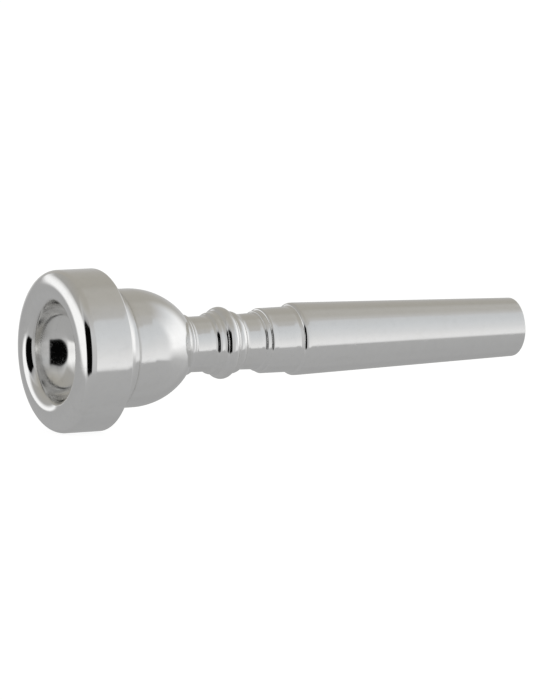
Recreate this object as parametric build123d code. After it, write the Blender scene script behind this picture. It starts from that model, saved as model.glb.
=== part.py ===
from build123d import *
import os
from math import sqrt, sin, cos, tan, asin, atan, radians, degrees

# Trumpet mouthpiece, millimetres. Its axis lies along +X.
# In the finished part x = 0 is the plane of the rim's crest, where the lips rest. The stations below are
# measured from a plane CREST_RISE behind the crest, and the solids are moved forward by it at the end.

# ---- driving dimensions --------------------------------------------------
LENGTH = 87.3            # station of the small end: the overall length is LENGTH + CREST_RISE
CREST_RISE = 0.3         # how far the crest stands in front of station 0
RIM_R = 13.15            # outside of the rim
CREST_R = 10.0           # radius of the crest circle
BITE_ROUND = 2.1         # rounding of the inner edge, which brings the opening to 7.9 in radius
BITE_SLOPE = 10.0        # the wall's slope to the axis where the cup begins, in degrees
CUP_ARC = 6.35           # radius of the cup's bowl-shaped wall
CUP_SLOPE = 60.0         # its slope where it turns into the straight part
THROAT_ROUND = 1.6       # rounding at the bottom of the cup
RIM_BACK = 8.3           # where the rim's cylinder ends
RIM_SEAM = 11.4          # where the cove ends and the bowl begins
BOWL_R = 9.65            # outside of the bowl
BOWL_X = 14.0            # where the bowl begins to close in
BOWL_ARC = 12.2          # radius of the bowl's profile
CUP_SEAM = 23.2          # crease between the bowl and the neck
NECK_R = 4.54            # neck between the bowl and the bead
BEAD_R = 5.92            # large bead
BEAD_X = 30.93
NECK2_R = 4.56           # neck between the bead and the first step
STEP_A = 37.25           # first step
BARREL_R = 5.40          # short barrel between the two steps
STEP_B = 43.95           # second step
TIP_R = 4.95             # shank's radius at its small end
TAPER = 0.025            # radius per mm of length: 1 in 20 on diameter
THROAT_R = 1.83          # throat
THROAT_X0 = 18.5
THROAT_X1 = 30.5
EXIT_R = 4.20            # backbore at the small end
RIM_THREAD_R = 8.95      # rim's thread, modelled as a plain bore
STUB_R = 3.60            # backbore's threaded stub, modelled plain
STUB_X = 17.3            # where the stub ends, inside the cup
FIT = 0.05               # radial clearance in both threads
RIM_SEAT = 4.2           # shoulder inside the rim
END_GAP = 0.05           # the two threads seat at their outer faces


def shank_r(x):
    return TIP_R + TAPER * (LENGTH - x)


def turned(edges):
    """Solid of revolution about the X axis from a closed outline of edges in the XY plane (y is the radius)."""
    face = make_face(Wire(edges))
    return revolve(face, Axis.X, 360)


def line(a, b):
    return Edge.make_line((a[0], a[1], 0), (b[0], b[1], 0))


def arc(a, m, b):
    return Edge.make_three_point_arc((a[0], a[1], 0), (m[0], m[1], 0), (b[0], b[1], 0))


def round_corner(centre, r, a0, a1):
    """Arc about centre from angle a0 to a1, in degrees from +X towards +radius."""
    p = [(centre[0] + r * cos(radians(a)), centre[1] + r * sin(radians(a))) for a in (a0, (a0 + a1) / 2, a1)]
    return p


def chain(*items):
    """Edges through points. An item is a point, or a tuple of three points for an arc."""
    edges, at, first = [], None, None
    for it in items:
        if isinstance(it[0], tuple):
            if at is None:
                first = it[0]
            elif dist(at, it[0]) > 1e-6:
                edges.append(line(at, it[0]))
            edges.append(arc(*it))
            at = it[2]
        else:
            if at is None:
                first = it
            elif dist(at, it) > 1e-6:
                edges.append(line(at, it))
            at = it
    if dist(at, first) > 1e-6:
        edges.append(line(at, first))
    return edges


def dist(a, b):
    return sqrt((a[0] - b[0]) ** 2 + (a[1] - b[1]) ** 2)


def through(points):
    """Smooth curve through points."""
    return Edge.make_spline([(x, r, 0) for x, r in points])


# ---- inner contour of the cup, shared by the rim and the cup --------------
def on_circle(centre, r, slope):
    """Point of the wall's circle where the wall slopes by slope degrees to the axis."""
    return (centre[0] + r * sin(radians(slope)), centre[1] + r * cos(radians(slope)))


bite_centre = (-CREST_RISE + BITE_ROUND, CREST_R)
bite_end = (bite_centre[0] - BITE_ROUND * sin(radians(BITE_SLOPE)), bite_centre[1] - BITE_ROUND * cos(radians(BITE_SLOPE)))
wall_centre = (bite_end[0] - CUP_ARC * sin(radians(BITE_SLOPE)), bite_end[1] - CUP_ARC * cos(radians(BITE_SLOPE)))


def wall_slope(x):
    return degrees(asin((x - wall_centre[0]) / CUP_ARC))


SOCKET_R = 2.25          # the cup's own hole where it meets the backbore
SOCKET_X = 17.25
wall_end = on_circle(wall_centre, CUP_ARC, CUP_SLOPE)
# the straight part meets the slightly tapered hole at a corner, which is rounded
k1, k2 = -tan(radians(CUP_SLOPE)), -0.022
meet_x = (SOCKET_R - k2 * SOCKET_X - wall_end[1] + k1 * wall_end[0]) / (k1 - k2)
meet = (meet_x, SOCKET_R + k2 * (meet_x - SOCKET_X))
turn = radians(CUP_SLOPE) - atan(-k2)
reach = THROAT_ROUND * tan(turn / 2)
round_a = (meet[0] - reach * cos(radians(CUP_SLOPE)), meet[1] + reach * sin(radians(CUP_SLOPE)))
round_c = (meet[0] + reach * cos(atan(k2)), meet[1] + reach * sin(atan(k2)))
round_centre = (round_c[0] - THROAT_ROUND * sin(atan(k2)), round_c[1] + THROAT_ROUND * cos(atan(k2)))
half = radians(CUP_SLOPE) - turn / 2
round_b = (round_centre[0] - THROAT_ROUND * sin(half), round_centre[1] - THROAT_ROUND * cos(half))

# ---- rim -----------------------------------------------------------------
CROWN_R = 4.6            # radius of the crest's outer half
CROWN_END = 28.0         # the crown's tilt where the outer rounding takes over, in degrees
crown_end = (-CREST_RISE + CROWN_R * (1 - cos(radians(CROWN_END))), CREST_R + CROWN_R * sin(radians(CROWN_END)))
crown_mid = (-CREST_RISE + CROWN_R * (1 - cos(radians(CROWN_END / 2))), CREST_R + CROWN_R * sin(radians(CROWN_END / 2)))
corner_r = (RIM_R - crown_end[1]) / (1 - sin(radians(CROWN_END)))
corner_centre = (crown_end[0] + corner_r * cos(radians(CROWN_END)), RIM_R - corner_r)
corner_mid_a = radians((CROWN_END + 90) / 2)
corner_mid = (corner_centre[0] - corner_r * cos(corner_mid_a), corner_centre[1] + corner_r * sin(corner_mid_a))
crown = ((-CREST_RISE, CREST_R), crown_mid, crown_end)
outer_round = (crown_end, corner_mid, (corner_centre[0], RIM_R))
bite_mid_a = radians((90 + BITE_SLOPE) / 2)
bite_mid = (bite_centre[0] - BITE_ROUND * sin(bite_mid_a), bite_centre[1] - BITE_ROUND * cos(bite_mid_a))
inner_round = (bite_end, bite_mid, (-CREST_RISE, CREST_R))
seat = on_circle(wall_centre, CUP_ARC, wall_slope(RIM_SEAT))
rim_wall = (seat, on_circle(wall_centre, CUP_ARC, (wall_slope(RIM_SEAT) + BITE_SLOPE) / 2), bite_end)
rear_round = round_corner((RIM_BACK - 0.35, RIM_R - 0.35), 0.35, 90, 0)
LIP = 0.2                # the rim's rear edge is broken by a shallow slope this long
cove_r = RIM_SEAM - LIP - RIM_BACK
cove = round_corner((RIM_SEAM - LIP, 9.50 + cove_r), cove_r, 180, 270)
rim_edges = [
    arc(*crown),
    arc(*outer_round),
    line(outer_round[2], rear_round[0]),
    arc(*rear_round),
    line(rear_round[2], cove[0]),
    arc(*cove),
    line(cove[2], (RIM_SEAM, 9.40)),
    line((RIM_SEAM, 9.40), (RIM_SEAM, RIM_THREAD_R)),
    line((RIM_SEAM, RIM_THREAD_R), (RIM_SEAT, RIM_THREAD_R)),
    line((RIM_SEAT, RIM_THREAD_R), seat),
    arc(*rim_wall),
    arc(*inner_round),
]
rim = turned(rim_edges)

# ---- cup -----------------------------------------------------------------
def bowl(x):
    return BOWL_R - BOWL_ARC + sqrt(BOWL_ARC ** 2 - (x - BOWL_X) ** 2)

BOWL_END = CUP_SEAM - 0.12
bowl_mid = (BOWL_X + BOWL_END) / 2
bowl_arc = ((BOWL_X, BOWL_R), (bowl_mid, bowl(bowl_mid)), (BOWL_END, bowl(BOWL_END)))
front = RIM_SEAT + END_GAP
cup_front = on_circle(wall_centre, CUP_ARC, wall_slope(front))
cup_wall = (wall_end, on_circle(wall_centre, CUP_ARC, (wall_slope(front) + CUP_SLOPE) / 2), cup_front)
socket_r = STUB_R + FIT
socket_x = STUB_X - END_GAP
cup_edges = [
    line(cup_front, (front, RIM_THREAD_R - FIT)),
    line((front, RIM_THREAD_R - FIT), (RIM_SEAM, RIM_THREAD_R - FIT)),
    line((RIM_SEAM, RIM_THREAD_R - FIT), (RIM_SEAM, 9.40)),
    line((RIM_SEAM, 9.40), (RIM_SEAM + 0.07, BOWL_R - 0.08)),
    line((RIM_SEAM + 0.07, BOWL_R - 0.08), (RIM_SEAM + 0.22, BOWL_R)),
    line((RIM_SEAM + 0.22, BOWL_R), (BOWL_X, BOWL_R)),
    arc(*bowl_arc),
    line(bowl_arc[2], (CUP_SEAM, bowl(BOWL_END) - 0.22)),
    line((CUP_SEAM, bowl(BOWL_END) - 0.22), (CUP_SEAM, socket_r)),
    line((CUP_SEAM, socket_r), (socket_x, socket_r)),
    line((socket_x, socket_r), (socket_x, SOCKET_R)),
    line((socket_x, SOCKET_R), round_c),
    arc(round_c, round_b, round_a),
    line(round_a, wall_end),
    arc(*cup_wall),
]
cup = turned(cup_edges)

# ---- backbore ------------------------------------------------------------
outer = chain(
    (STUB_X, STUB_R - 0.35),
    (STUB_X + 0.35, STUB_R),
    (CUP_SEAM, STUB_R),
    (CUP_SEAM, 4.98),
    # two fine rings at the crease
    ((CUP_SEAM, 4.98), (23.62, 5.16), (24.02, 4.96)),
    ((24.02, 4.96), (24.32, 4.94), (24.52, 4.66)),
    ((24.52, 4.66), (24.62, 4.57), (24.80, NECK_R)),
    (27.75, 4.57),
    # small step before the bead
    ((27.75, 4.57), (28.14, 4.62), (28.34, 4.76)),
    ((28.34, 4.76), (28.60, 4.985), (28.92, 5.06)),
    (29.12, 5.08),
    # large bead
    ((29.12, 5.08), (29.56, 5.13), (29.86, 5.33)),
    ((29.86, 5.33), (BEAD_X, BEAD_R), (31.92, 5.42)),
    ((31.92, 5.42), (32.08, 5.20), (32.30, 5.08)),
    # small bead behind it
    ((32.30, 5.08), (32.82, 5.13), (33.32, 4.98)),
    ((33.32, 4.98), (33.62, 4.82), (33.86, 4.64)),
    ((33.86, 4.64), (34.14, 4.57), (34.50, NECK2_R)),
    (36.95, 4.64),
    # first step, in two risers
    ((36.95, 4.64), (STEP_A - 0.05, 4.68), (STEP_A + 0.05, 4.78)),
    ((STEP_A + 0.05, 4.78), (STEP_A + 0.16, 4.93), (STEP_A + 0.34, 4.99)),
    (37.98, 5.00),
    ((37.98, 5.00), (38.08, 5.03), (38.13, 5.11)),
    ((38.13, 5.11), (38.25, 5.29), (38.55, 5.36)),
    (43.20, BARREL_R),
    # second step
    ((43.20, BARREL_R), (STEP_B - 0.30, 5.435), (STEP_B - 0.02, 5.56)),
    ((STEP_B - 0.02, 5.56), (STEP_B + 0.22, 5.86), (STEP_B + 0.62, shank_r(44.8) - 0.015)),
    (45.20, shank_r(45.2)),
    (LENGTH - 0.18, shank_r(LENGTH - 0.18)),
    ((LENGTH - 0.18, shank_r(LENGTH - 0.18)), (LENGTH - 0.05, TIP_R - 0.055), (LENGTH, TIP_R - 0.18)),
    (LENGTH, EXIT_R),
)
outer = outer[:-1]  # the inner contour closes the outline
INNER = [(LENGTH, EXIT_R), (75.0, 3.88), (60.0, 3.36), (45.0, 2.70), (36.0, 2.18), (THROAT_X1, THROAT_R)]
bore = [
    through(INNER),
    line((THROAT_X1, THROAT_R), (THROAT_X0, THROAT_R)),
    arc((THROAT_X0, THROAT_R), (17.85, 1.97), (STUB_X, 2.24)),
    line((STUB_X, 2.24), (STUB_X, STUB_R - 0.35)),
]
backbore = turned(outer + bore)

# the crest comes to x = 0
rim, cup, backbore = (Pos(CREST_RISE, 0, 0) * s for s in (rim, cup, backbore))

os.makedirs("parts", exist_ok=True)
for name, solid in (("rim", rim), ("cup", cup), ("backbore", backbore)):
    export_step(solid, f"parts/{name}.step")
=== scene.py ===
from math import sin, cos, tan, asin, atan, radians, degrees, pi, sqrt, atan2, ceil

import bpy
import numpy as np
from mathutils import Matrix, Vector


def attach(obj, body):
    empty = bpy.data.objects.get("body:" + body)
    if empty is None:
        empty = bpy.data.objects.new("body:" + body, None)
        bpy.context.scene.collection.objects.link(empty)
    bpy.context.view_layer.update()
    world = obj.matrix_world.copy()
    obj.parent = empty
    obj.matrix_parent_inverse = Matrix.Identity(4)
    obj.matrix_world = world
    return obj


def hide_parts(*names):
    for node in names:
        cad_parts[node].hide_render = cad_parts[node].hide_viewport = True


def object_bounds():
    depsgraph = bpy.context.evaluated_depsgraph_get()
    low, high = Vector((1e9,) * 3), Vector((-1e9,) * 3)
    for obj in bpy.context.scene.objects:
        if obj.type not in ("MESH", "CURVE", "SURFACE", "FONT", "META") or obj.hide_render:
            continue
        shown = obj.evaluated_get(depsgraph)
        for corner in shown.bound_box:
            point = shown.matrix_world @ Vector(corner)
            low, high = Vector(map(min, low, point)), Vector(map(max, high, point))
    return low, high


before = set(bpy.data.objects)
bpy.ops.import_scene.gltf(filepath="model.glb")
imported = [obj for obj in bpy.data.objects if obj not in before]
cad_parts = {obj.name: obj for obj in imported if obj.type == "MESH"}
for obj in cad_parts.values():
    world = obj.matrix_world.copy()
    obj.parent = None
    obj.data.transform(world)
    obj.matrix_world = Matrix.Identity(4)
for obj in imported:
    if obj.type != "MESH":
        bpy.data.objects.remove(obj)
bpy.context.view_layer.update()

MM = 0.001

# ------------------------------------------------------------------ profile
# The mouthpiece is turned about the X axis. x = 0 is the rim's crest plane, in millimetres here.
LENGTH = 87.3
CREST_RISE = 0.3
RIM_R = 13.15
CREST_R = 10.0
BITE_ROUND = 2.1
BITE_SLOPE = 10.0
CUP_ARC = 6.35
CUP_SLOPE = 60.0
THROAT_ROUND = 1.6
CROWN_R = 4.6
CROWN_END = 28.0
RIM_BACK = 8.3
RIM_SEAM = 11.4
BOWL_R = 9.65
BOWL_X = 14.0
BOWL_ARC = 12.2
CUP_SEAM = 23.2
NECK_R = 4.54
NECK2_R = 4.56
BEAD_R = 5.92
BEAD_X = 30.93
STEP_A = 37.25
BARREL_R = 5.40
STEP_B = 43.95
TIP_R = 4.95
TAPER = 0.025
THROAT_R = 1.83
THROAT_X0 = 18.5
THROAT_X1 = 30.5
EXIT_R = 4.20
RIM_THREAD_R = 8.95
STUB_R = 3.60
STUB_X = 17.3
SOCKET_R = 2.25
FIT = 0.05
RIM_SEAT = 4.2
END_GAP = 0.005          # the seats are drawn tight, as they look screwed home


def shank_r(x):
    return TIP_R + TAPER * (LENGTH - x)


def bowl(x):
    return BOWL_R - BOWL_ARC + sqrt(BOWL_ARC ** 2 - (x - BOWL_X) ** 2)


def corner(centre, r, a0, a1):
    return [(centre[0] + r * cos(radians(a)), centre[1] + r * sin(radians(a))) for a in (a0, (a0 + a1) / 2, a1)]


def arc(a, m, b, step=0.07):
    """Points on the circle through three points, fine enough for a mirror finish."""
    ax, ay = a
    bx, by = m
    cx, cy = b
    d = 2 * (ax * (by - cy) + bx * (cy - ay) + cx * (ay - by))
    if abs(d) < 1e-9:
        return [a, m, b]
    ux = ((ax * ax + ay * ay) * (by - cy) + (bx * bx + by * by) * (cy - ay) + (cx * cx + cy * cy) * (ay - by)) / d
    uy = ((ax * ax + ay * ay) * (cx - bx) + (bx * bx + by * by) * (ax - cx) + (cx * cx + cy * cy) * (bx - ax)) / d
    r = sqrt((ax - ux) ** 2 + (ay - uy) ** 2)
    t0 = atan2(ay - uy, ax - ux)
    t1 = atan2(by - uy, bx - ux)
    t2 = atan2(cy - uy, cx - ux)
    t1 = t0 + (t1 - t0 + pi) % (2 * pi) - pi
    t2 = t1 + (t2 - t1 + pi) % (2 * pi) - pi
    n = max(4, int(ceil(abs(t2 - t0) * r / step)), int(ceil(abs(t2 - t0) / radians(5))))
    return [(ux + r * cos(t0 + (t2 - t0) * i / n), uy + r * sin(t0 + (t2 - t0) * i / n)) for i in range(n + 1)]


def straight(a, b, step=0.8):
    n = max(1, int(ceil(sqrt((a[0] - b[0]) ** 2 + (a[1] - b[1]) ** 2) / step)))
    return [(a[0] + (b[0] - a[0]) * i / n, a[1] + (b[1] - a[1]) * i / n) for i in range(n + 1)]


def curve(points, step=0.25):
    """A natural cubic spline through points, as the turned inner contours are."""
    p = np.array(points, float)
    s = np.concatenate([[0], np.cumsum(np.hypot(*np.diff(p, axis=0).T))])
    n = len(p)
    out = []
    ts = np.linspace(0, s[-1], int(ceil(s[-1] / step)) + 1)
    cols = []
    for k in range(2):
        y = p[:, k]
        h = np.diff(s)
        A = np.zeros((n, n))
        b = np.zeros(n)
        A[0, 0] = A[-1, -1] = 1
        for i in range(1, n - 1):
            A[i, i - 1], A[i, i], A[i, i + 1] = h[i - 1], 2 * (h[i - 1] + h[i]), h[i]
            b[i] = 6 * ((y[i + 1] - y[i]) / h[i] - (y[i] - y[i - 1]) / h[i - 1])
        m = np.linalg.solve(A, b)
        v = np.empty_like(ts)
        for j, t in enumerate(ts):
            i = min(max(np.searchsorted(s, t) - 1, 0), n - 2)
            a, c = s[i + 1] - t, t - s[i]
            v[j] = (m[i] * a ** 3 + m[i + 1] * c ** 3) / (6 * h[i]) + (y[i] / h[i] - m[i] * h[i] / 6) * a + (y[i + 1] / h[i] - m[i + 1] * h[i] / 6) * c
        cols.append(v)
    return list(zip(*cols))


def join(*runs):
    """One closed outline from runs of points, with repeats left out."""
    out = []
    for run in runs:
        for p in run:
            if not out or (out[-1][0] - p[0]) ** 2 + (out[-1][1] - p[1]) ** 2 > 1e-8:
                out.append((float(p[0]), float(p[1])))
    if (out[0][0] - out[-1][0]) ** 2 + (out[0][1] - out[-1][1]) ** 2 < 1e-8:
        out.pop()
    return out


def chain(*items):
    """Runs through points: an item is a point, or three points of an arc."""
    runs, at = [], None
    for it in items:
        if isinstance(it[0], tuple):
            if at is not None and at != it[0]:
                runs.append(straight(at, it[0]))
            runs.append(arc(*it))
            at = it[2]
        else:
            if at is not None:
                runs.append(straight(at, it))
            at = it
    return [p for r in runs for p in r]


# ------------------------------------------------------------------- lathe
SEGMENTS = 288


def lathe(name, outline, threads=(), segments=SEGMENTS):
    """A closed solid turned about X. outline runs round the section. threads cut helical grooves:
    (x0, x1, radius, depth, pitch, sign), into the wall whose radius is given; sign +1 sends the groove outward, -1
    inward."""
    pts = np.array(outline)
    n = len(pts)
    prev, nxt = np.roll(pts, 1, 0), np.roll(pts, -1, 0)
    a = pts - prev
    b = nxt - pts
    turn = np.degrees(np.abs(np.arctan2(a[:, 0] * b[:, 1] - a[:, 1] * b[:, 0], (a * b).sum(1))))
    th = np.linspace(0, 2 * pi, segments, endpoint=False)
    X = np.repeat(pts[:, :1], segments, 1)
    R = np.repeat(pts[:, 1:2], segments, 1)
    for x0, x1, radius, depth, pitch, sign in threads:
        on = (np.abs(R - radius) < 1e-4) & (X > x0 - 1e-6) & (X < x1 + 1e-6)
        phase = (X / pitch - th[None, :] / (2 * pi)) % 1.0
        groove = np.clip((1 - np.abs(2 * phase - 1)) * 1.35 - 0.18, 0, 1)
        fade = np.clip((X - x0) / 0.5, 0, 1) * np.clip((x1 - X) / 0.6, 0, 1)
        R = np.where(on, R + sign * depth * groove * fade, R)
    V = np.stack([X + CREST_RISE, -R * np.cos(th)[None, :], R * np.sin(th)[None, :]], -1).reshape(-1, 3) * MM
    i = np.arange(n)[:, None]
    j = np.arange(segments)[None, :]
    i2, j2 = (i + 1) % n, (j + 1) % segments
    F = np.stack([i * segments + j, i * segments + j2, i2 * segments + j2, i2 * segments + j], -1).reshape(-1, 4)
    # outward normals need the outline's turning sense
    area = 0.5 * np.sum(pts[:, 0] * nxt[:, 1] - nxt[:, 0] * pts[:, 1])
    if area > 0:
        F = F[:, ::-1]
    me = bpy.data.meshes.new(name)
    me.from_pydata(V.tolist(), [], F.tolist())
    me.update()
    ob = bpy.data.objects.new(name, me)
    bpy.context.scene.collection.objects.link(ob)
    me.polygons.foreach_set("use_smooth", np.ones(len(me.polygons), bool))
    sharp_ring = turn > 17.0
    ev = np.empty(len(me.edges) * 2, np.int32)
    me.edges.foreach_get("vertices", ev)
    ev = ev.reshape(-1, 2)
    ring = ev // segments
    sharp = (ring[:, 0] == ring[:, 1]) & sharp_ring[ring[:, 0]]
    att = me.attributes.get("sharp_edge") or me.attributes.new("sharp_edge", "BOOLEAN", "EDGE")
    att.data.foreach_set("value", sharp)
    # a seam-aligned UV layer: u round the axis, v along the outline
    run = np.concatenate([[0], np.cumsum(np.hypot(*(np.roll(pts, -1, 0) - pts).T))])
    uv = me.uv_layers.new(name="turned")
    fi = np.repeat(np.arange(n), segments)
    fj = np.tile(np.arange(segments), n)
    u0, u1 = fj / segments, (fj + 1) / segments
    v0, v1 = run[fi] / run[-1], run[fi + 1] / run[-1]
    q = np.stack([np.stack([u0, v0], -1), np.stack([u1, v0], -1), np.stack([u1, v1], -1), np.stack([u0, v1], -1)], 1)
    if area > 0:
        q = q[:, ::-1]
    uv.data.foreach_set("uv", q.reshape(-1).astype(np.float32))
    me.update()
    return ob


# --------------------------------------------------------------------- rim
def on_circle(centre, r, slope):
    return (centre[0] + r * sin(radians(slope)), centre[1] + r * cos(radians(slope)))


bite_centre = (-CREST_RISE + BITE_ROUND, CREST_R)
bite_end = (bite_centre[0] - BITE_ROUND * sin(radians(BITE_SLOPE)), bite_centre[1] - BITE_ROUND * cos(radians(BITE_SLOPE)))
wall_centre = (bite_end[0] - CUP_ARC * sin(radians(BITE_SLOPE)), bite_end[1] - CUP_ARC * cos(radians(BITE_SLOPE)))


def wall_slope(x):
    return degrees(asin((x - wall_centre[0]) / CUP_ARC))


SOCKET_X = 17.25
wall_end = on_circle(wall_centre, CUP_ARC, CUP_SLOPE)
k1, k2 = -tan(radians(CUP_SLOPE)), -0.022
meet_x = (SOCKET_R - k2 * SOCKET_X - wall_end[1] + k1 * wall_end[0]) / (k1 - k2)
meet = (meet_x, SOCKET_R + k2 * (meet_x - SOCKET_X))
turn_a = radians(CUP_SLOPE) - atan(-k2)
reach = THROAT_ROUND * tan(turn_a / 2)
round_a = (meet[0] - reach * cos(radians(CUP_SLOPE)), meet[1] + reach * sin(radians(CUP_SLOPE)))
round_c = (meet[0] + reach * cos(atan(k2)), meet[1] + reach * sin(atan(k2)))
round_centre = (round_c[0] - THROAT_ROUND * sin(atan(k2)), round_c[1] + THROAT_ROUND * cos(atan(k2)))
half = radians(CUP_SLOPE) - turn_a / 2
round_b = (round_centre[0] - THROAT_ROUND * sin(half), round_centre[1] - THROAT_ROUND * cos(half))

crown_end = (-CREST_RISE + CROWN_R * (1 - cos(radians(CROWN_END))), CREST_R + CROWN_R * sin(radians(CROWN_END)))
crown_mid = (-CREST_RISE + CROWN_R * (1 - cos(radians(CROWN_END / 2))), CREST_R + CROWN_R * sin(radians(CROWN_END / 2)))
corner_r = (RIM_R - crown_end[1]) / (1 - sin(radians(CROWN_END)))
corner_centre = (crown_end[0] + corner_r * cos(radians(CROWN_END)), RIM_R - corner_r)
corner_a = radians((CROWN_END + 90) / 2)
corner_mid = (corner_centre[0] - corner_r * cos(corner_a), corner_centre[1] + corner_r * sin(corner_a))
bite_a = radians((90 + BITE_SLOPE) / 2)
bite_mid = (bite_centre[0] - BITE_ROUND * sin(bite_a), bite_centre[1] - BITE_ROUND * cos(bite_a))
seat = on_circle(wall_centre, CUP_ARC, wall_slope(RIM_SEAT))
wall_mid = on_circle(wall_centre, CUP_ARC, (wall_slope(RIM_SEAT) + BITE_SLOPE) / 2)
rear = corner((RIM_BACK - 0.35, RIM_R - 0.35), 0.35, 90, 0)
LIP = 0.2
cove_r = RIM_SEAM - LIP - RIM_BACK
cove = corner((RIM_SEAM - LIP, 9.50 + cove_r), cove_r, 180, 270)
rim_outline = join(
    arc((-CREST_RISE, CREST_R), crown_mid, crown_end),
    arc(crown_end, corner_mid, (corner_centre[0], RIM_R)),
    straight((corner_centre[0], RIM_R), rear[0]),
    arc(*rear),
    straight(rear[2], cove[0]),
    arc(*cove),
    straight(cove[2], (RIM_SEAM, 9.40)),
    straight((RIM_SEAM, 9.40), (RIM_SEAM, RIM_THREAD_R)),
    straight((RIM_SEAM, RIM_THREAD_R), (RIM_SEAT, RIM_THREAD_R), 0.09),
    straight((RIM_SEAT, RIM_THREAD_R), seat),
    arc(seat, wall_mid, bite_end),
    arc(bite_end, bite_mid, (-CREST_RISE, CREST_R)),
)
rim = lathe("mouthpiece_rim", rim_outline, threads=[(5.0, 10.6, RIM_THREAD_R, 0.26, 0.9, 1)])

# --------------------------------------------------------------------- cup
BOWL_END = CUP_SEAM - 0.12
mid = (BOWL_X + BOWL_END) / 2
bowl_arc = ((BOWL_X, BOWL_R), (mid, bowl(mid)), (BOWL_END, bowl(BOWL_END)))
front = RIM_SEAT + END_GAP
cup_front = on_circle(wall_centre, CUP_ARC, wall_slope(front))
cup_mid = on_circle(wall_centre, CUP_ARC, (wall_slope(front) + CUP_SLOPE) / 2)
socket_r = STUB_R + FIT
socket_x = STUB_X - 0.05
cup_outline = join(
    straight(cup_front, (front, RIM_THREAD_R - FIT - 0.2)),
    straight((front, RIM_THREAD_R - FIT - 0.2), (front + 0.2, RIM_THREAD_R - FIT)),
    straight((front + 0.2, RIM_THREAD_R - FIT), (RIM_SEAM, RIM_THREAD_R - FIT), 0.09),
    straight((RIM_SEAM, RIM_THREAD_R - FIT), (RIM_SEAM, 9.40)),
    straight((RIM_SEAM, 9.40), (RIM_SEAM + 0.03, BOWL_R - 0.03)),
    straight((RIM_SEAM + 0.03, BOWL_R - 0.03), (RIM_SEAM + 0.22, BOWL_R)),
    straight((RIM_SEAM + 0.22, BOWL_R), (BOWL_X, BOWL_R)),
    arc(*bowl_arc, step=0.12),
    straight(bowl_arc[2], (CUP_SEAM, bowl(BOWL_END) - 0.22)),
    straight((CUP_SEAM, bowl(BOWL_END) - 0.22), (CUP_SEAM, socket_r)),
    straight((CUP_SEAM, socket_r), (socket_x, socket_r), 0.09),
    straight((socket_x, socket_r), (socket_x, SOCKET_R)),
    straight((socket_x, SOCKET_R), round_c),
    arc(round_c, round_b, round_a),
    straight(round_a, wall_end),
    arc(wall_end, cup_mid, cup_front),
)
cup = lathe("mouthpiece_cup", cup_outline, threads=[
    (front + 0.2, 10.6, RIM_THREAD_R - FIT, 0.26, 0.9, -1),
    (17.8, 22.6, socket_r, 0.24, 0.75, 1),
])

# ---------------------------------------------------------------- backbore
outer = chain(
    (STUB_X, STUB_R - 0.35),
    (STUB_X + 0.35, STUB_R),
)
outer += straight((STUB_X + 0.35, STUB_R), (CUP_SEAM, STUB_R), 0.08)
outer += chain(
    (CUP_SEAM, STUB_R),
    (CUP_SEAM, 4.98),
    ((CUP_SEAM, 4.98), (23.62, 5.16), (24.02, 4.96)),
    ((24.02, 4.96), (24.32, 4.94), (24.52, 4.66)),
    ((24.52, 4.66), (24.62, 4.57), (24.80, NECK_R)),
    (27.75, 4.57),
    ((27.75, 4.57), (28.14, 4.62), (28.34, 4.76)),
    ((28.34, 4.76), (28.60, 4.985), (28.92, 5.06)),
    (29.12, 5.08),
    ((29.12, 5.08), (29.56, 5.13), (29.86, 5.33)),
    ((29.86, 5.33), (BEAD_X, BEAD_R), (31.92, 5.42)),
    ((31.92, 5.42), (32.08, 5.20), (32.30, 5.08)),
    ((32.30, 5.08), (32.82, 5.13), (33.32, 4.98)),
    ((33.32, 4.98), (33.62, 4.82), (33.86, 4.64)),
    ((33.86, 4.64), (34.14, 4.57), (34.50, NECK2_R)),
    (36.95, 4.64),
    ((36.95, 4.64), (STEP_A - 0.05, 4.68), (STEP_A + 0.05, 4.78)),
    ((STEP_A + 0.05, 4.78), (STEP_A + 0.16, 4.93), (STEP_A + 0.34, 4.99)),
    (37.98, 5.00),
    ((37.98, 5.00), (38.08, 5.03), (38.13, 5.11)),
    ((38.13, 5.11), (38.25, 5.29), (38.55, 5.36)),
    (43.20, BARREL_R),
    ((43.20, BARREL_R), (STEP_B - 0.30, 5.435), (STEP_B - 0.02, 5.56)),
    ((STEP_B - 0.02, 5.56), (STEP_B + 0.22, 5.86), (STEP_B + 0.62, shank_r(44.8) - 0.015)),
    (45.20, shank_r(45.2)),
    (LENGTH - 0.18, shank_r(LENGTH - 0.18)),
    ((LENGTH - 0.18, shank_r(LENGTH - 0.18)), (LENGTH - 0.05, TIP_R - 0.055), (LENGTH, TIP_R - 0.18)),
    (LENGTH, EXIT_R),
)
bore = curve([(LENGTH, EXIT_R), (75.0, 3.88), (60.0, 3.36), (45.0, 2.70), (36.0, 2.18), (THROAT_X1, THROAT_R)], 0.8)
backbore_outline = join(
    outer,
    bore,
    straight((THROAT_X1, THROAT_R), (THROAT_X0, THROAT_R), 1.0),
    arc((THROAT_X0, THROAT_R), (17.85, 1.97), (STUB_X, 2.24)),
    straight((STUB_X, 2.24), (STUB_X, STUB_R - 0.35)),
)
backbore = lathe("mouthpiece_backbore", backbore_outline, threads=[(STUB_X + 0.35, 22.6, STUB_R, 0.24, 0.75, -1)])


# --------------------------------------------------------------- materials
def node(nt, kind, at=(0, 0), **inputs):
    n = nt.nodes.new(kind)
    n.location = at
    for k, v in inputs.items():
        n.inputs[k.replace("_", " ")].default_value = v
    return n


def math(nt, op, a, b=None, c=None, clamp=False):
    n = nt.nodes.new("ShaderNodeMath")
    n.operation = op
    n.use_clamp = clamp
    for i, v in enumerate((a, b, c)):
        if v is None:
            continue
        if isinstance(v, (int, float)):
            n.inputs[i].default_value = v
        else:
            nt.links.new(v, n.inputs[i])
    return n.outputs[0]


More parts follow.
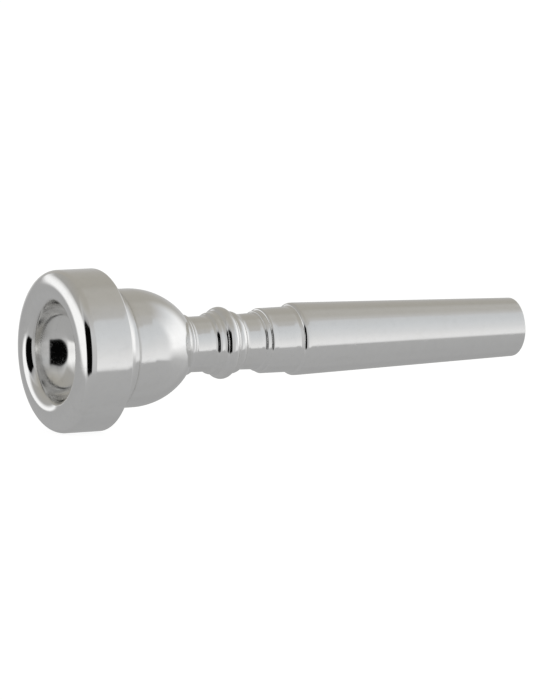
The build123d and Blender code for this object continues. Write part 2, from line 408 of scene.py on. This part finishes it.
def ramp(nt, value, stops, interpolation="LINEAR"):
    n = nt.nodes.new("ShaderNodeValToRGB")
    n.color_ramp.interpolation = interpolation
    e = n.color_ramp.elements
    while len(e) > 1:
        e.remove(e[-1])
    first = True
    for pos, col in stops:
        c = (col, col, col, 1) if isinstance(col, (int, float)) else (*col, 1)
        if first:
            e[0].position, e[0].color = pos, c
            first = False
        else:
            k = e.new(pos)
            k.color = c
    nt.links.new(value, n.inputs[0])
    return n.outputs[0]


def mix_col(nt, f, a, b):
    n = nt.nodes.new("ShaderNodeMix")
    n.data_type = "RGBA"
    for sock, v in ((n.inputs[0], f), (n.inputs[6], a), (n.inputs[7], b)):
        if isinstance(v, (int, float)):
            sock.default_value = v
        elif isinstance(v, tuple):
            sock.default_value = (*v, 1)
        else:
            nt.links.new(v, sock)
    return n.outputs[2]


def smooth_band(nt, v, lo, hi, soft):
    """1 between lo and hi, falling to 0 over soft beyond each."""
    up = nt.nodes.new("ShaderNodeMapRange")
    up.interpolation_type = "SMOOTHSTEP"
    up.inputs[1].default_value, up.inputs[2].default_value = lo - soft, lo + soft
    nt.links.new(v, up.inputs[0])
    dn = nt.nodes.new("ShaderNodeMapRange")
    dn.interpolation_type = "SMOOTHSTEP"
    dn.inputs[1].default_value, dn.inputs[2].default_value = hi - soft, hi + soft
    dn.inputs[3].default_value, dn.inputs[4].default_value = 1, 0
    nt.links.new(v, dn.inputs[0])
    return math(nt, "MULTIPLY", up.outputs[0], dn.outputs[0])


def step_up(nt, v, at, soft):
    up = nt.nodes.new("ShaderNodeMapRange")
    up.interpolation_type = "SMOOTHSTEP"
    up.inputs[1].default_value, up.inputs[2].default_value = at - soft, at + soft
    nt.links.new(v, up.inputs[0])
    return up.outputs[0]


def silver(name, kind):
    """Polished silver plate on turned brass: hairline polishing scratches, faint turning lines, slow waviness
    of the plate, roughness that varies, a trace of tarnish, and more wear where the piece is handled. Inside the cup
    and rim the base colour carries painted shade."""
    m = bpy.data.materials.new(name)
    m.use_nodes = True
    nt = m.node_tree
    nt.nodes.clear()
    out = node(nt, "ShaderNodeOutputMaterial", (1400, 0))
    bs = node(nt, "ShaderNodeBsdfPrincipled", (1100, 0))
    nt.links.new(bs.outputs[0], out.inputs[0])
    bs.inputs["Metallic"].default_value = 1.0
    tc = node(nt, "ShaderNodeTexCoord", (-1600, 0))
    P = tc.outputs["Object"]
    sep = node(nt, "ShaderNodeSeparateXYZ", (-1400, 0))
    nt.links.new(P, sep.inputs[0])
    x, y, z = sep.outputs
    rad = math(nt, "SQRT", math(nt, "ADD", math(nt, "MULTIPLY", y, y), math(nt, "MULTIPLY", z, z)))
    ang = math(nt, "ARCTAN2", z, y)

    def noise(vec, scale, detail=3.0, rough=0.5, dist=0.0):
        n = node(nt, "ShaderNodeTexNoise")
        n.inputs["Scale"].default_value = scale
        n.inputs["Detail"].default_value = detail
        n.inputs["Roughness"].default_value = rough
        n.inputs["Distortion"].default_value = dist
        nt.links.new(vec, n.inputs["Vector"])
        return n.outputs[0]

    def coords(sx, sa, sr=0.0):
        """Cylindrical coordinates, so that marks run round or along the piece: x scaled by sx, the angle by sa, the radius by sr."""
        c = node(nt, "ShaderNodeCombineXYZ")
        nt.links.new(math(nt, "MULTIPLY", x, sx), c.inputs[0])
        nt.links.new(math(nt, "MULTIPLY", math(nt, "COSINE", ang), sa), c.inputs[1])
        s = math(nt, "MULTIPLY", math(nt, "SINE", ang), sa)
        nt.links.new(math(nt, "ADD", s, math(nt, "MULTIPLY", rad, sr)), c.inputs[2])
        return c.outputs[0]

    # turning lines: fine rings, uneven along x and broken round the piece
    rings = noise(coords(9000.0, 0.35, 9000.0), 1.0, 4.0, 0.65)
    # hairlines from the polishing cloth, in two directions
    sc1 = node(nt, "ShaderNodeTexVoronoi")
    sc1.feature = "DISTANCE_TO_EDGE"
    map1 = node(nt, "ShaderNodeMapping")
    map1.inputs["Rotation"].default_value = (0.3, 0.5, 0.9)
    map1.inputs["Scale"].default_value = (140.0, 900.0, 500.0)
    nt.links.new(P, map1.inputs[0])
    nt.links.new(map1.outputs[0], sc1.inputs["Vector"])
    sc1.inputs["Scale"].default_value = 1.0
    hair1 = math(nt, "LESS_THAN", sc1.outputs["Distance"], 0.012)
    sc2 = node(nt, "ShaderNodeTexVoronoi")
    sc2.feature = "DISTANCE_TO_EDGE"
    map2 = node(nt, "ShaderNodeMapping")
    map2.inputs["Rotation"].default_value = (1.1, -0.4, 0.2)
    map2.inputs["Scale"].default_value = (700.0, 120.0, 640.0)
    nt.links.new(P, map2.inputs[0])
    nt.links.new(map2.outputs[0], sc2.inputs["Vector"])
    sc2.inputs["Scale"].default_value = 1.0
    hair2 = math(nt, "LESS_THAN", sc2.outputs["Distance"], 0.010)
    breaks = noise(P, 420.0, 2.0)
    broken = step_up(nt, breaks, 0.56, 0.05)
    hair = math(nt, "MULTIPLY", math(nt, "MAXIMUM", hair1, hair2), broken)
    # slow variation of the plate, and fine mottling
    slow = noise(P, 55.0, 3.0)
    fine = noise(P, 900.0, 4.0, 0.6)
    cloud = noise(P, 190.0, 4.0, 0.55, 0.6)

    # where it is inside the cup or the bore
    if kind == "cup":
        inside = math(nt, "LESS_THAN", math(nt, "MULTIPLY_ADD", x, 0.55, rad), 0.0102)
    elif kind == "rim":
        inside = math(nt, "LESS_THAN", rad, 0.00815)
    else:
        inside = math(nt, "LESS_THAN", rad, 0.0043)

    # base colour: bright silver, a little warmer where tarnish starts
    tarnish = ramp(nt, cloud, [(0.0, 0.0), (0.52, 0.06), (0.74, 0.42), (1.0, 0.8)])
    streaks = noise(coords(420.0, 4.5, 160.0), 1.0, 1.5, 0.5)
    # the wall just below the bite, inside: this band gets painted shade in the colour and more roughness
    shade_and_rough_band = smooth_band(nt, x, 0.00135, 0.0034, 0.00085)
    shade_and_rough_band = math(nt, "MULTIPLY", shade_and_rough_band, inside) if kind != "backbore" else None
    t_f = math(nt, "MULTIPLY", tarnish, 0.35)
    col = mix_col(nt, t_f, (0.950, 0.949, 0.944), (0.88, 0.86, 0.81))
    col = mix_col(nt, math(nt, "MULTIPLY", hair, 0.22), col, (0.99, 0.99, 0.985))
    shade = ramp(nt, fine, [(0.0, 0.93), (0.5, 0.985), (1.0, 1.0)])
    n = nt.nodes.new("ShaderNodeMix")
    n.data_type = "RGBA"
    n.blend_type = "MULTIPLY"
    n.inputs[0].default_value = 1.0
    nt.links.new(col, n.inputs[6])
    nt.links.new(shade, n.inputs[7])
    col = n.outputs[2]
    if kind == "cup" or kind == "rim":
        # painted shade: the base colour is darkened all through the inside of the cup and rim, following the turning
        # rings
        inner_painted_shade = math(nt, "MULTIPLY", inside, math(nt, "MULTIPLY_ADD", rings, 0.30, 0.10))
        col = mix_col(nt, inner_painted_shade, col, (0.80, 0.79, 0.76))
        # painted shade: a darker streaked band on the wall just below the bite
        band_painted_shade = math(nt, "MULTIPLY", shade_and_rough_band, step_up(nt, streaks, 0.46, 0.34))
        col = mix_col(nt, math(nt, "MULTIPLY", band_painted_shade, 0.5), col, (0.42, 0.415, 0.40))
    nt.links.new(col, bs.inputs["Base Color"])

    # roughness
    base = {"rim": 0.050, "cup": 0.060, "backbore": 0.055}[kind]
    rough = math(nt, "MULTIPLY_ADD", slow, 0.035, base - 0.012)
    rough = math(nt, "ADD", rough, math(nt, "MULTIPLY", fine, 0.012))
    rough = math(nt, "ADD", rough, math(nt, "MULTIPLY", hair, 0.10))
    rough = math(nt, "ADD", rough, math(nt, "MULTIPLY", tarnish, 0.03))
    rough = math(nt, "ADD", rough, math(nt, "MULTIPLY", inside, 0.035))
    if kind != "backbore":
        rough = math(nt, "ADD", rough, math(nt, "MULTIPLY", shade_and_rough_band, math(nt, "MULTIPLY_ADD", streaks, 0.08, 0.03)))
    if kind == "backbore":
        # the last 25 mm goes in and out of the receiver
        worn = math(nt, "MULTIPLY", step_up(nt, x, 0.064, 0.006), math(nt, "MULTIPLY_ADD", noise(coords(2600.0, 2.0), 1.0, 3.0), 0.09, 0.0))
        rough = math(nt, "ADD", rough, worn)
    if kind == "rim":
        crest = smooth_band(nt, x, -0.001, 0.0006, 0.0005)
        rough = math(nt, "ADD", rough, math(nt, "MULTIPLY", crest, math(nt, "MULTIPLY", cloud, 0.05)))
    nt.links.new(math(nt, "MINIMUM", rough, 0.5), bs.inputs["Roughness"])

    # bump: waviness, rings, hairlines
    def bump(height, distance, strength, normal=None):
        b = node(nt, "ShaderNodeBump")
        b.inputs["Strength"].default_value = strength
        b.inputs["Distance"].default_value = distance
        nt.links.new(height, b.inputs["Height"])
        if normal is not None:
            nt.links.new(normal, b.inputs["Normal"])
        return b.outputs[0]

    nrm = bump(noise(P, 95.0, 1.0), 0.00003, 0.5)
    nrm = bump(rings, 0.0000018, 0.6, nrm)
    nrm = bump(math(nt, "MULTIPLY", hair, -1.0), 0.000002, 0.35, nrm)
    nt.links.new(nrm, bs.inputs["Normal"])
    return m


for ob, kind, nd, body, sl in ((rim, "rim", "rim", "rim", "rim_silver"), (cup, "cup", "cup", "cup", "cup_silver"), (backbore, "backbore", "backbore", "backbore", "backbore_silver")):
    ob.data.materials.append(silver("silver_plate_" + kind, kind))
    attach(ob, body)
    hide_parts(nd)

# ------------------------------------------------------------------- stage
low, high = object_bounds()
fl = bpy.data.meshes.new("floor")
S = 6.0
zf = low.z - 0.00005
fl.from_pydata([(-S, -S, zf), (S, -S, zf), (S, S, zf), (-S, S, zf)], [], [(0, 1, 2, 3)])
floor = bpy.data.objects.new("floor", fl)
bpy.context.scene.collection.objects.link(floor)
fm = bpy.data.materials.new("pale_floor")
fm.use_nodes = True
ft = fm.node_tree
ft.nodes.clear()
fo = node(ft, "ShaderNodeOutputMaterial", (600, 0))
em = node(ft, "ShaderNodeEmission", (200, 100))
df = node(ft, "ShaderNodeBsdfDiffuse", (200, -100))
df.inputs[0].default_value = (0.42, 0.42, 0.42, 1)
em.inputs[0].default_value = (1, 1, 1, 1)
em.inputs[1].default_value = 0.86
ad = node(ft, "ShaderNodeAddShader", (400, 0))
ft.links.new(em.outputs[0], ad.inputs[0])
ft.links.new(df.outputs[0], ad.inputs[1])
ft.links.new(ad.outputs[0], fo.inputs[0])
fl.materials.append(fm)
floor.visible_glossy = False
floor.visible_diffuse = False

# ------------------------------------------------------------------- world
# A light tent, written by direction: azimuth 0 is towards -Y, +90 towards +X; elevation in degrees.
world = bpy.data.worlds.new("tent")
bpy.context.scene.world = world
world.use_nodes = True
wt = world.node_tree
wt.nodes.clear()
wo = node(wt, "ShaderNodeOutputWorld", (1600, 0))
bg = node(wt, "ShaderNodeBackground", (1300, 0))
wc = node(wt, "ShaderNodeTexCoord", (-1600, 0))
ws = node(wt, "ShaderNodeSeparateXYZ", (-1400, 0))
wt.links.new(wc.outputs["Generated"], ws.inputs[0])
wx, wy, wz = ws.outputs
DEG = 57.29578
el = math(wt, "MULTIPLY", math(wt, "ARCSINE", wz), DEG)
az = math(wt, "MULTIPLY", math(wt, "ARCTAN2", wx, math(wt, "MULTIPLY", wy, -1.0)), DEG)
eln = math(wt, "MULTIPLY_ADD", el, 1 / 180.0, 0.5)


def srgb(v):
    v /= 255.0
    return v / 12.92 if v <= 0.04045 else ((v + 0.055) / 1.055) ** 2.4


def tint(v, warm=0.0):
    """An 8-bit display level as linear light, divided by the plate's reflectance. warm > 0 is warmer, < 0 cooler."""
    g = srgb(v) / 0.94
    return (g * (1 + (0.04 if warm > 0 else 0.07) * warm), g, g * (1 - (0.095 if warm > 0 else 0.055) * warm))


def column(stops):
    return ramp(wt, eln, [((e + 90) / 180.0, tint(v, w)) for e, v, w in stops])


LEFT = column([(-90, 160, 0), (-20, 163, 0), (0, 160, 0), (20, 160, .2), (40, 158, .5), (60, 157, .8), (90, 156, 1)])
FRONT = column([(-90, 160, 0), (-45, 163, 0), (-27, 167, 0), (-21, 184, 0), (-8, 188, 0), (10, 190, 0), (25, 192, -.2), (35, 186, 0), (45, 176, .2), (56, 168, .6), (66, 163, .9), (90, 158, 1)])
# the light card in front, right: its foot and its top both stand lower at the side nearest the rim
near_t = step_up(wt, wx, 0.48, 0.035)
foot_r = math(wt, "MULTIPLY_ADD", near_t, 4.0, -20.5)
top_r = math(wt, "MULTIPLY_ADD", near_t, 8.0, 41.0)
u = math(wt, "DIVIDE", math(wt, "SUBTRACT", el, foot_r), math(wt, "SUBTRACT", top_r, foot_r))
u = math(wt, "MULTIPLY_ADD", u, 1 / 3.2, 1.2 / 3.2)
RIGHT = ramp(wt, u, [((e + 1.2) / 3.2, tint(v, w)) for e, v, w in (
    (-1.2, 158, 0), (-0.5, 163, 0), (-0.045, 166, 0), (0.0, 213, 0), (0.05, 225, 0), (0.20, 220, 0), (0.40, 210, -.15), (0.70, 201, -.35),
    (0.95, 194, -.3), (0.985, 190, -.1), (1.02, 176, .3), (1.25, 171, .6), (1.42, 163, .9), (1.7, 158, 1))])
RIGHT2 = column([(-90, 160, 0), (-45, 162, 0), (-25, 168, 0), (-16, 178, 0), (-8, 215, 0), (0, 246, 0), (14, 249, 0), (26, 236, -.1), (37, 214, -.2), (47, 190, 0), (56, 170, .7), (70, 162, 1), (90, 158, 1)])
BACK = column([(-90, 158, 0), (-45, 158, 0), (-28, 158, 0), (-16, 162, 0), (-6, 178, 0), (4, 188, .1), (14, 176, .3), (30, 164, .8), (45, 160, 1), (70, 158, 1), (90, 158, 1)])

# the tall white panel on the left: its foot rises towards the back, and its top fades
foot = math(wt, "MULTIPLY_ADD", az, -0.40, -57.0)
panel_up = math(wt, "SUBTRACT", el, foot)
panel = math(wt, "MULTIPLY", step_up(wt, panel_up, 2.5, 4.0), math(wt, "SUBTRACT", 1.0, step_up(wt, el, 23, 9)))
panel = math(wt, "MULTIPLY", panel, step_up(wt, az, -178, 2))
left = mix_col(wt, panel, LEFT, tint(246))
env = mix_col(wt, step_up(wt, az, -90, 5), left, FRONT)
env = mix_col(wt, step_up(wt, az, 16, 2.5), env, RIGHT)
env = mix_col(wt, step_up(wt, az, 57, 9), env, RIGHT2)
env = mix_col(wt, step_up(wt, az, 112, 14), env, BACK)
# the dim margin above the opening, then the dark opening itself
ex = math(wt, "MAXIMUM", 0.0, math(wt, "MULTIPLY_ADD", az, -1 / 30.0, -60 / 30.0))
ey = math(wt, "MULTIPLY_ADD", el, 1 / 28.5, -5 / 28.5)
reach_d = math(wt, "SQRT", math(wt, "ADD", math(wt, "MULTIPLY", ex, ex), math(wt, "MULTIPLY", ey, ey)))
left_of = math(wt, "SUBTRACT", 1.0, step_up(wt, az, -33, 3))
dim = math(wt, "MULTIPLY", math(wt, "SUBTRACT", 1.0, step_up(wt, reach_d, 1.3, 0.3)), math(wt, "MULTIPLY", math(wt, "MULTIPLY", left_of, step_up(wt, az, -80, 8)), step_up(wt, el, -14, 8)))
env = mix_col(wt, math(wt, "MULTIPLY", dim, 0.7), env, tint(130))
dark = math(wt, "MULTIPLY", math(wt, "SUBTRACT", 1.0, step_up(wt, reach_d, 1.0, 0.09)), left_of)
env = mix_col(wt, dark, env, (0.0015, 0.0015, 0.0015))
wt.links.new(env, bg.inputs[0])
bg.inputs[1].default_value = 1.0
white = node(wt, "ShaderNodeBackground", (1300, -200))
white.inputs[0].default_value = (1, 1, 1, 1)
white.inputs[1].default_value = 1.0
lp = node(wt, "ShaderNodeLightPath", (1100, 300))
ms = node(wt, "ShaderNodeMixShader", (1450, 0))
wt.links.new(lp.outputs["Is Camera Ray"], ms.inputs[0])
wt.links.new(bg.outputs[0], ms.inputs[1])
wt.links.new(white.outputs[0], ms.inputs[2])
wt.links.new(ms.outputs[0], wo.inputs[0])
bpy.context.scene.view_settings.view_transform = "Standard"
bpy.context.scene.view_settings.look = "None"

# ------------------------------------------------------------------ camera
AZ, EL = radians(-29.477), radians(5.744)
DIST = 0.764
back = Vector((sin(AZ) * cos(EL), -cos(AZ) * cos(EL), sin(EL)))
right = Vector((cos(AZ), sin(AZ), 0))
up = back.cross(right)
centre = Vector((0.04262 + CREST_RISE * MM, 0, 0))
cd = bpy.data.cameras.new("camera")
cam = bpy.data.objects.new("camera", cd)
bpy.context.scene.collection.objects.link(cam)
cd.sensor_width = 36.0
cd.lens = 36.0 * 6.0647 * 764 / 700.0
cd.clip_start, cd.clip_end = 0.05, 50.0
cam.matrix_world = Matrix((
    (right.x, up.x, back.x, 0), (right.y, up.y, back.y, 0), (right.z, up.z, back.z, 0), (0, 0, 0, 1)))
cam.location = centre + back * DIST - right * 0.001848 - up * 0.001745
bpy.context.scene.camera = cam
